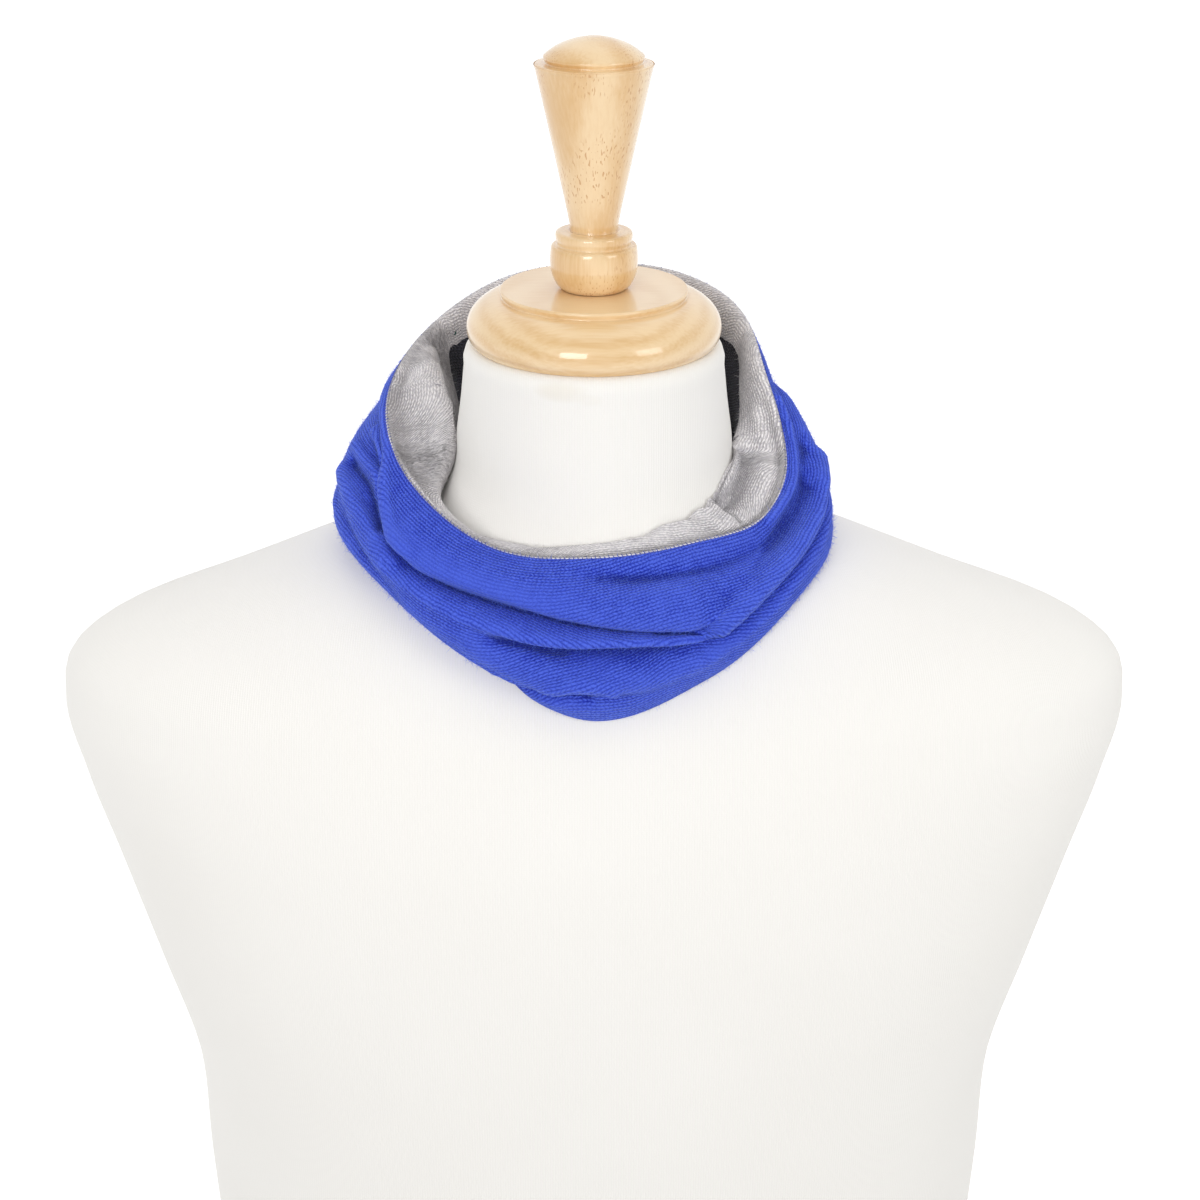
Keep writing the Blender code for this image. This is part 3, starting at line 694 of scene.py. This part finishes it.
def stitches(finish, u, v, wale):
    """The face of stocking stitch, a row of V-shaped loops along each wale: (legs, loops, a number that
    is one leg's own), all from 0 to 1."""
    wander = finish.noise(u * (0.35 / STITCH), v * (0.35 / wale), detail=1.0) - 0.5
    jitter = finish.noise(u * (0.9 / STITCH), v * (0.9 / wale), 5.0, detail=0.0) - 0.5
    across = v * (1 / wale) + wander * (STRAY * 3) + jitter * STRAY
    side = (across.fract() - 0.5).abs()
    leg = (side * (2 * math.pi)).sin()
    along = u * (1 / STITCH) + side * LEG_LEAN + wander * (STRAY * 3) + jitter * (STRAY * 2)
    loop = (along.fract() * math.pi).sin()
    own = finish.noise(along.to("FLOOR") * 7.31, (across * 2).to("FLOOR") * 3.17, 0.0, detail=0.0)
    return leg, loop, own


def knit(
    name, dark, light, nap_and_highlight_colour, wale, nap, relief, marl=None, bald=(), fold_shade_dark=0.6, shaded=0.5, **sockets
):
    """Stocking stitch with a nap. bald has a row for each smoothly napped place. hollow is how dark the
    painted shade in the folds is beside the darkest yarn, and shaded how much of that painted shade shows.
    The ridges get a painted highlight in the nap colour."""
    finish = Finish(name, Roughness=0.95, Specular_IOR_Level=0.2, **sockets)
    u, v = finish.cloth()
    leg, loop, own = stitches(finish, u, v, wale)
    height = leg * (loop * 0.62 + 0.38)
    worn = finish.noise(u * 38, v * 60, detail=2.0).ranged(0.5, 0.95)
    for spot in finish.spots(u, v, bald, 0.2, 1.8):
        worn = worn.to("MAXIMUM", spot)
    fibres = finish.noise(u * 1300, v * 1300, 3.0, detail=2.0, roughness=0.65)
    drift = finish.noise(u * 150, v * 150, 9.0, detail=1.0)
    # Besides the yarn's own random tone, the stitch relief is painted in: painted shade between the legs and
    # loops, lighter on them.
    shade = height * 0.75 + own * 0.35 + fibres * 0.75 + drift * 0.3 - 0.72
    # fold lightens the stitches on ridges and darkens them in folds: painted highlight and painted shade.
    fold = finish.fold()
    shade = shade * (worn * -0.6 + 1.0) + worn * 0.3 + fold * 0.18
    colour = finish.mix(shade.ranged(0.0, 0.85), dark, light)
    if marl:
        grain = finish.noise(u * 420, v * 1100, 7.0, detail=2.0, roughness=0.6)
        colour = finish.mix(grain.ranged(0.46, 0.66) * 0.8, colour, marl)
    colour = finish.mix(worn * nap, colour, nap_and_highlight_colour)
    # Painted highlight on the ridges, in the nap colour, then painted shade in the folds.
    colour = finish.mix(fold.ranged(0.1, 0.9) * 0.25, colour, nap_and_highlight_colour)
    colour = finish.mix(fold.ranged(-0.1, -0.9) * shaded, colour, tuple(fold_shade_dark * part for part in dark))
    finish.colour(colour)
    finish.bump((height * (worn * -0.6 + 1.0), relief), (fibres, 0.25 * MM))
    return finish.material


def jersey():
    """Stretched ribbed jersey, with faint marks."""
    finish = Finish("white_jersey", Roughness=0.85, Specular_IOR_Level=0.25, Sheen_Weight=0.1)
    u, v = finish.cloth()
    rib = (u * (2 * math.pi / JERSEY_RIB)).wave()
    loops = (v * (2 * math.pi / JERSEY_LOOP)).wave()
    soft = finish.noise(u * 9, v * 9, detail=3.0)
    # The ribs and loops are painted into the colour as well as bumped: painted shade between the ribs, on top
    # of the soft random tone.
    shade = rib * 0.3 + loops * 0.1 + soft * 0.6
    colour = finish.mix(shade.ranged(0.1, 1.0), (0.905, 0.885, 0.845), (0.955, 0.94, 0.905))
    for spot in finish.spots(u, v, STAINS, 0.0, 1.2):
        colour = finish.mix(spot * soft.ranged(0.3, 0.6), colour, (0.72, 0.62, 0.45))
    finish.colour(colour)
    finish.bump((rib * (loops * 0.3 + 0.7), 0.07 * MM))
    return finish.material


def wood(name, upright):
    """Varnished wood, its grain upright and flecked with pores, or lying, as arcs round the cap's middle."""
    finish = Finish(name, Roughness=0.32, Coat_Weight=0.9, Coat_Roughness=0.04, Coat_IOR=1.5)
    x, y, z = finish.where()
    drift = finish.noise(x * 14, y * 14, z * 9, detail=3.0)
    if upright:
        rings = ((x * 60 + y * 35 + drift * 3.0) * 5.0).wave() * 0.35
        fine = finish.noise(x * 900, y * 900, z * 60, detail=2.0)
    else:
        high = z - (CAP_TOP + 20 * MM)
        depth = (x * x + high * high * 4.0).to("SQRT")
        rings = (depth * 460 + y * 60 + drift * 14.0).wave() * 0.2
        fine = finish.noise(x * 60, y * 900, z * 900, detail=2.0)
    shade = rings + fine * 0.35 + drift * 0.45
    colour = finish.mix(shade.ranged(0.3, 0.85), (0.89, 0.66, 0.385), (0.74, 0.46, 0.19))
    if upright:
        pores = finish.noise(x * 1400, y * 1400, z * 330, detail=0.0)
        patch = finish.noise(x * 55, y * 55, z * 40, detail=0.0)
        share = pores.ranged(0.66, 0.72) * patch.ranged(0.35, 0.6) * 0.75
        colour = finish.mix(share, colour, (0.55, 0.25, 0.07))
    finish.colour(colour)
    finish.bump((fine, 0.03 * MM))
    return finish.material


# -------- the form and the wood


def lathe(name, profile, material):
    """A turned solid, smooth through the points of its profile, closed with a flat fan at each end."""
    knots = np.arange(len(profile), dtype=float)
    at = np.linspace(0, len(profile) - 1, (len(profile) - 1) * LATHE_STEPS + 1)
    heights, radii = (
        smooth_through(at, knots, column(profile, TURNED_COLUMNS, one) * MM) for one in TURNED_COLUMNS
    )
    angles = np.arange(LATHE_AROUND) * 360.0 / LATHE_AROUND
    rings = np.array([place(angles, radius, -height) for height, radius in zip(heights, radii)])
    ends = place(0.0, 0.0, -heights[[0, -1]])
    faces = quads(len(rings), LATHE_AROUND, False, True)
    low = len(rings) * LATHE_AROUND
    top = low - LATHE_AROUND
    for i in range(LATHE_AROUND):
        k = (i + 1) % LATHE_AROUND
        faces += [(low, k, i), (low + 1, top + i, top + k)]
    return mesh_object(name, np.concatenate([rings.reshape(-1, 3), ends]), faces, material, sharp=LATHE_SHARP)


def make_form(material):
    drops = []
    for high, low in zip(BODY[:-1], BODY[1:]):
        parts = max(2, math.ceil((low[0] - high[0]) / FORM_STEP))
        drops += [high[0] + (low[0] - high[0]) * i / parts for i in range(parts)]
    drops.append(BODY[-1][0])
    turns = np.radians(np.arange(FORM_AROUND) * 360.0 / FORM_AROUND)
    rings = []
    for drop in drops:
        width, front, back = body_section(drop, ("half_width", "front", "back"))
        depths = np.where(np.cos(turns) > 0, front, back)
        angles = np.degrees(np.arctan2(width * np.sin(turns), depths * np.cos(turns)))
        rings.append(place(angles, body_radius(angles, drop * MM), drop * MM))
    rings = np.array(rings)

    # The map goes both ways round from the front and meets itself at the back.
    back = FORM_AROUND // 2
    u = walked_rows(np.concatenate([rings, rings[:, :1]], axis=1))
    total = u[:, -1:]
    u = np.where(u > total / 2, u - total, u)
    u[:, back] = total[:, 0] / 2
    left, right = u[:, :-1].T.copy(), u[:, 1:].T
    left[back] *= -1
    v = walked_rows(rings[None, :, 0])[0]
    levels = len(rings)
    faces = quads(FORM_AROUND, levels, True, False)
    uvs = quad_uvs((left[:, :-1], left[:, 1:], right[:, 1:], right[:, :-1]), (v[:-1], v[1:], v[1:], v[:-1]))
    rim = np.arange(FORM_AROUND) * levels
    faces += [rim.tolist(), (rim[::-1] + levels - 1).tolist()]
    uvs += [[0.0, 0.0]] * FORM_AROUND + [[0.0, v[-1]]] * FORM_AROUND
    points = rings.transpose(1, 0, 2)
    return mesh_object("form_jersey", points, faces, material, {"cloth": uvs}, FORM_SHARP)


# -------- the cloth


def way_down(angle, line):
    """How far along the outer line each share of the way down is: (shares, distances)."""
    along, _, _, places, _ = crease_plan(float(angle))
    steps = np.linspace(0, LAST_STEP, FINE_POINTS)
    return places / along[-1], np.interp(np.arange(len(places)), steps, walked(line))


def stroked(strokes, angles, downs, ways):
    """How far the strokes push the cloth at each angle and distance down."""
    push = np.zeros_like(downs)
    for height, above, below, fade_in, fade_out, way in strokes:
        way = np.array(way, float)
        knots = np.arange(len(way), dtype=float)
        at = np.linspace(0, knots[-1], STROKE_SAMPLES)
        turns, shares = (smooth_through(at, knots, way[:, i]) for i in (0, 1))
        rows = [int(np.argmin(np.abs((angles - turn + 180) % 360 - 180))) for turn in turns]
        drops = np.array([np.interp(share, *ways[row]) for share, row in zip(shares, rows)])
        gone = np.concatenate([[0], np.cumsum(np.hypot(np.diff(turns) * ROUND, np.diff(drops)))])
        taper = np.clip(gone / (fade_in * MM), 0, 1) * np.clip((gone[-1] - gone) / (fade_out * MM), 0, 1)
        taper = taper * taper * (3 - 2 * taper)
        apart = ((angles[:, None] - turns + 180) % 360 - 180) * ROUND
        near = np.abs(apart).min(axis=1) < STROKE_REACH
        if not near.any():
            continue
        fall = downs[near][:, :, None] - drops
        far = np.hypot(apart[near][:, None, :], fall)
        nearest = far.argmin(axis=2)[:, :, None]
        width = np.where(np.take_along_axis(fall, nearest, 2) > 0, below, above)[:, :, 0] * MM
        far = np.take_along_axis(far, nearest, 2)[:, :, 0]
        push[near] += height * MM * taper[nearest[:, :, 0]] * np.exp(-((far / width) ** 2))
    return push


def eased(rows, angles):
    """Rows of (angle, mm) as metres at each angle, their corners rounded over a few degrees."""
    rows = np.array(rows, float).T
    return np.mean([np.interp(angles + turn, *rows, period=360) for turn in EASING], axis=0) * MM


def taken_in(angles, downs, ways):
    """The cloth taken in above each face of the outer cloth, at its first and at its second angle."""
    slip = np.zeros((2, len(angles), downs.shape[1] - 1))
    middle = (downs[:, 1:] + downs[:, :-1]) / 2
    for crease, rows in enumerate(TAKEN_IN):
        amount = eased(rows, angles)
        centre = np.array([way[1][2 * crease + 2] for way in ways]) - TAKEN_ABOVE
        below = middle > centre[:, None]
        slip[0] += amount[:, None] * below
        slip[1] += np.roll(amount, -1)[:, None] * below
    return slip


def make_outer(material):
    """The outer cloth, all round: (its object, the grid of its mid-surface)."""
    angles = (np.linspace(0, 360, OUTER_AROUND, endpoint=False) + SEAM_LEFT) % 360
    lines = [outer_line(angle) for angle in angles]
    ways = [way_down(angle, line) for angle, line in zip(angles, lines)]
    grid = np.array(
        [place(angle, *evenly(line, OUTER_DOWN, OUTER_START)) for angle, line in zip(angles, lines)]
    )
    downs = walked_rows(grid)
    grid = grid + facing(grid, True) * stroked(STROKES, angles, downs, ways)[:, :, None]
    slip = taken_in(angles, downs, ways)
    lean = eased(LEAN, angles)[:, None]
    return slab("outer_cloth", grid, material, closed=True, slip=slip, depths=lean), grid


def make_panel(name, span, size, shares_at, material, start):
    """A panel of the lining: (its object, the grid of its mid-surface). shares_at says from where to
    where down the lining it goes at an angle."""
    around, down = size
    angles = np.linspace(*span, around + 1)
    grid = []
    depths = []
    for angle in angles % 360:
        low, high = shares_at(angle)
        line = lining_profile(angle, np.linspace(low, high, down))
        grid.append(place(angle, *evenly(line, down)))
        depths.append(low * lining_curve(angle)[0][-1])
    grid = np.array(grid)
    depths = np.array(depths)[:, None]
    ways = [((0, 1000), (0, 1))] * len(angles)
    push = stroked(LINING_STROKES, angles, walked_rows(grid) + depths, ways)
    grid = grid - facing(grid, False) * push[:, :, None]
    return slab(name, grid, material, start=start, depths=depths), grid


def unit(rows):
    return rows / np.linalg.norm(rows, axis=1, keepdims=True)


def many(name, points, pattern, material):
    """Many small things as one mesh, each with these points and with faces in this pattern."""
    points = np.stack(points, axis=1)
    firsts = np.arange(len(points)) * points.shape[1]
    faces = (firsts[:, None, None] + np.array(pattern)).reshape(-1, 3).tolist()
    return mesh_object(name, points, faces, material)


def fuzz(name, grid, normals, count, seed, length, material):
    """Loose fibres on a grid of cloth, each a thin curved cone that leaves the surface at a slant."""
    pick = np.random.default_rng(seed)
    cells = grid.shape[0] - 1, grid.shape[1] - 1
    even = np.full(cells[0] * cells[1], 1 / (cells[0] * cells[1]))
    i, j = np.unravel_index(pick.choice(len(even), count, p=even), cells)
    a, b = pick.random((2, count, 1))
    root = (
        (grid[i, j] * (1 - a) + grid[i + 1, j] * a) * (1 - b)
        + (grid[i, j + 1] * (1 - a) + grid[i + 1, j + 1] * a) * b
    )
    out = normals[i, j]
    root = root + out * (CLOTH / 2 - 0.05 * MM)
    stray = pick.normal(size=(2, count, 3))
    stray -= out * (stray * out).sum(2)[:, :, None]
    long = length * (0.45 + pick.random((count, 1)) ** 2 * 1.1)
    way = unit(out * (0.25 + 0.5 * pick.random((count, 1))) + stray[0] * 0.8)
    bend = unit(way + stray[1] * 0.6 + out * 0.15)
    middle = root + way * long * 0.5
    side = unit(np.cross(way, out + stray[0] * 0.1))
    other = np.cross(way, side)
    thick = (0.035 + 0.03 * pick.random((count, 1))) * MM
    points = []
    for centre, radius in ((root, thick), (middle, thick * 0.8)):
        for turn in np.radians((0, 120, 240)):
            points.append(centre + radius * (math.cos(turn) * side + math.sin(turn) * other))
    points.append(middle + bend * long * 0.5)
    return many(name, points, FIBRE_FACES, material)


def threads(name, starts, ends, radius, material):
    """Short rounded threads, each a six-sided spindle from its start to its end."""
    way = unit(ends - starts)
    side = unit(np.cross(way, (0.31, 0.52, 0.79)))
    other = np.cross(way, side)
    points = [starts]
    for share in (0.2, 0.8):
        centre = starts + (ends - starts) * share
        for turn in np.radians(np.arange(0, 360, 60)):
            points.append(centre + radius * (math.cos(turn) * side + math.sin(turn) * other))
    points.append(ends)
    pattern = []
    for i in range(1, 7):
        k = i % 6 + 1
        pattern += [(0, k, i), (i, k, k + 6), (i, k + 6, i + 6), (i + 6, k + 6, 13)]
    return many(name, points, pattern, material)


def rim_stitches(grid, normals):
    """The starts and ends of the stitches that join the outer cloth and the lining along the rim."""
    edge = np.concatenate([grid[:, 0], grid[:1, 0]])
    along = walked_rows(edge[None])[0]
    count = int(along[-1] / STITCH)
    at = np.arange(count) * along[-1] / count
    seat, out, up = (
        np.array([np.interp(at, along, np.append(row, row[0])) for row in rows.T]).T
        for rows in (grid[:, 0], normals[:, 0], unit(grid[:, 0] - grid[:, 1]))
    )
    lean = (np.roll(seat, -1, axis=0) - seat) * 0.25
    seat = seat + out * (CLOTH / 2 - 0.12 * MM) + up * 0.9 * MM
    uneven = (1 + 0.25 * np.sin(np.arange(count) * 2.4))[:, None]
    starts = seat - up * 1.1 * MM * uneven + lean
    return starts, seat + up * 1.0 * MM * uneven - lean - out * 0.25 * MM


def fleck(angle, down, length):
    """The start and end of a bit of yarn on the lining."""
    line = lining_profile(angle, np.linspace(0, 1, FINE_POINTS))
    ends = []
    for turn, at in enumerate((down, down + length)):
        radius, drop = (np.interp(at * MM, walked(line), row) for row in line)
        ends.append(place(angle + turn, radius - CLOTH / 2, drop)[None])
    return ends


blue_knit = knit(
    "blue_knit",
    dark=(0.012, 0.028, 0.42),
    light=(0.094, 0.166, 0.87),
    nap_and_highlight_colour=(0.059, 0.104, 0.63),
    wale=2.9 * MM,
    nap=0.5,
    relief=0.45 * MM,
    bald=((0.120, 0.021, 0.060, 0.009, 0.6),),
    fold_shade_dark=0.4,
    Sheen_Weight=0.45,
    Sheen_Roughness=0.4,
    Sheen_Tint=(0.35, 0.5, 1.0, 1.0),
)
grey_knit = knit(
    "grey_knit",
    dark=(0.37, 0.35, 0.365),
    light=(0.98, 0.95, 0.96),
    nap_and_highlight_colour=(0.76, 0.73, 0.745),
    wale=2.8 * MM,
    nap=0.5,
    relief=0.38 * MM,
    marl=(0.46, 0.44, 0.49),
    shaded=0.3,
    Sheen_Weight=0.15,
)
navy_knit = knit(
    "navy_knit",
    dark=(0.006, 0.006, 0.012),
    light=(0.045, 0.045, 0.07),
    nap_and_highlight_colour=(0.03, 0.03, 0.045),
    wale=2.8 * MM,
    nap=0.3,
    relief=0.5 * MM,
    Sheen_Weight=0.2,
)
form = make_form(jersey())
cap = lathe("cap_wood", NECK_CAP, wood("cap_grain", upright=False))
finial = lathe("finial_wood", FINIAL, wood("finial_grain", upright=True))
outer, outer_grid = make_outer(blue_knit)
front = SEAM_LEFT - 360 + PANEL_GAP, SEAM_RIGHT - PANEL_GAP
back = SEAM_RIGHT + PANEL_GAP, SEAM_LEFT - PANEL_GAP
lining_front, front_grid = make_panel(
    "lining_front_knit", front, FRONT_SIZE, lambda angle: (0.0, 1.0), grey_knit, 0.0
)
lining_back, back_grid = make_panel(
    "lining_back_knit", back, BACK_SIZE, lambda angle: (0.0, band_shares(angle)[0]), grey_knit, ROUND_FRONT
)
band, band_grid = make_panel(
    "lining_band_knit", back, BAND_SIZE, lambda angle: (band_shares(angle)[1], 1.0), navy_knit, ROUND_FRONT
)

fluff = []
for name, grid, closed, side, count, seed, length, slot, colour in (
    ("outer_fuzz", outer_grid, True, 1, 18000, 11, 3.0 * MM, "blue_knit", (0.14, 0.24, 0.95)),
    ("lining_front_fuzz", front_grid, False, -1, 6000, 12, 2.2 * MM, "grey_knit", (0.80, 0.78, 0.78)),
    ("lining_back_fuzz", back_grid, False, -1, 4000, 13, 2.2 * MM, "grey_knit", (0.80, 0.78, 0.78)),
    ("lining_band_fuzz", band_grid, False, -1, 2500, 14, 2.0 * MM, "navy_knit", (0.09, 0.09, 0.13)),
):
    fibre = plain(name + "_fibres", colour, Roughness=0.9, Specular_IOR_Level=0.2)
    fluff.append((fuzz(name, grid, facing(grid, closed) * side, count, seed, length, fibre), slot))
seam = rim_stitches(outer_grid, facing(outer_grid, True))
thread = plain("seam_thread", (0.10, 0.12, 0.42), Roughness=0.9)
fluff.append((threads("rim_stitches", *seam, SEAM_THREAD, thread), "blue_knit"))
for name, angle, down, length, colour in FLECKS:
    yarn = plain(name + "_yarn", colour, Roughness=0.9)
    fluff.append((threads(name, *fleck(angle, down, length), FLECK_YARN, yarn), "grey_knit"))

for piece, slot in fluff:
    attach(piece, "root")
for piece, slot, nodes in (
    (form, "white_jersey", ["form_body"]),
    (cap, "pale_wood", ["neck_cap"]),
    (finial, "pale_wood", ["finial"]),
    (outer, "blue_knit", ["outer_front", "outer_back"]),
    (lining_front, "grey_knit", ["lining_front"]),
    (lining_back, "grey_knit", ["lining_back"]),
    (band, "navy_knit", ["lining_back_band"]),
):
    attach(piece, "root")
    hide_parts(*nodes)

# -------- floor, light and camera


def make_stage():
    """A white floor that lights the part from below but takes no light from it."""
    finish = Finish("pale_floor", Roughness=0.9, Specular_IOR_Level=0.0, Emission_Strength=0.75)
    finish.colour((0.6, 0.6, 0.6))
    finish.shader.inputs["Emission Color"].default_value = (1, 1, 1, 1)
    corners = np.array([(-1, -1, 0), (1, -1, 0), (1, 1, 0), (-1, 1, 0)]) * FLOOR_HALF
    floor = mesh_object("floor", corners, [(0, 1, 2, 3)], finish.material)
    floor.location.z = -0.5 * MM
    floor.visible_diffuse = False


def softbox(name, azimuth, elevation, distance, size, energy):
    """A square area light that faces the cloth. Azimuth 0 is in front, 90 on the viewer's right."""
    turn, tilt = math.radians(azimuth), math.radians(elevation)
    away = math.sin(turn) * math.cos(tilt), -math.cos(turn) * math.cos(tilt), math.sin(tilt)
    light = bpy.data.lights.new(name, "AREA")
    light.shape = "RECTANGLE"
    light.size = light.size_y = size
    light.energy = energy
    lamp = bpy.data.objects.new(name, light)
    lamp.location = np.array([0, 0, LIT_HEIGHT]) + np.array(away) * distance
    lamp.rotation_euler = (math.pi / 2 - tilt, 0, turn)
    bpy.context.scene.collection.objects.link(lamp)
    return lamp


def make_world():
    """A bright studio, white to the camera, darker in front of the part and brighter low down."""
    world = bpy.data.worlds.new("studio")
    bpy.context.scene.world = world
    world.use_nodes = True
    tree = world.node_tree
    background = tree.nodes["Background"]
    seen = Field(tree, tree.nodes.new("ShaderNodeLightPath").outputs["Is Camera Ray"])
    _, depth, height = coordinates(tree, "ShaderNodeTexCoord", "Generated")
    shine = depth.ranged(-0.5, 0.8, 0.46, 1.05) * height.ranged(-0.7, 0.1, 1.5, 1.0)
    feed(tree, background.inputs["Strength"], seen * (shine * -1 + 1.05) + shine)
    background.inputs["Color"].default_value = (1, 1, 1, 1)


make_stage()
make_world()
softbox("key_left", -18, 15, 2.2, 0.9, 19)
softbox("key_right", 50, 16, 2.2, 0.9, 9.5)
softbox("top", 0, 82, 1.8, 1.4, 4.5).visible_glossy = False

camera = bpy.data.cameras.new("camera")
camera.sensor_width = 36.0
camera.lens = 66.69
camera.shift_x = 0.005
lens = bpy.data.objects.new("camera", camera)
lens.location = (0, NECK_Y - 0.95, 1.007)
lens.rotation_euler = (math.radians(66.3), 0, 0)
bpy.context.scene.collection.objects.link(lens)
bpy.context.scene.camera = lens
bpy.context.scene.view_settings.view_transform = "Standard"
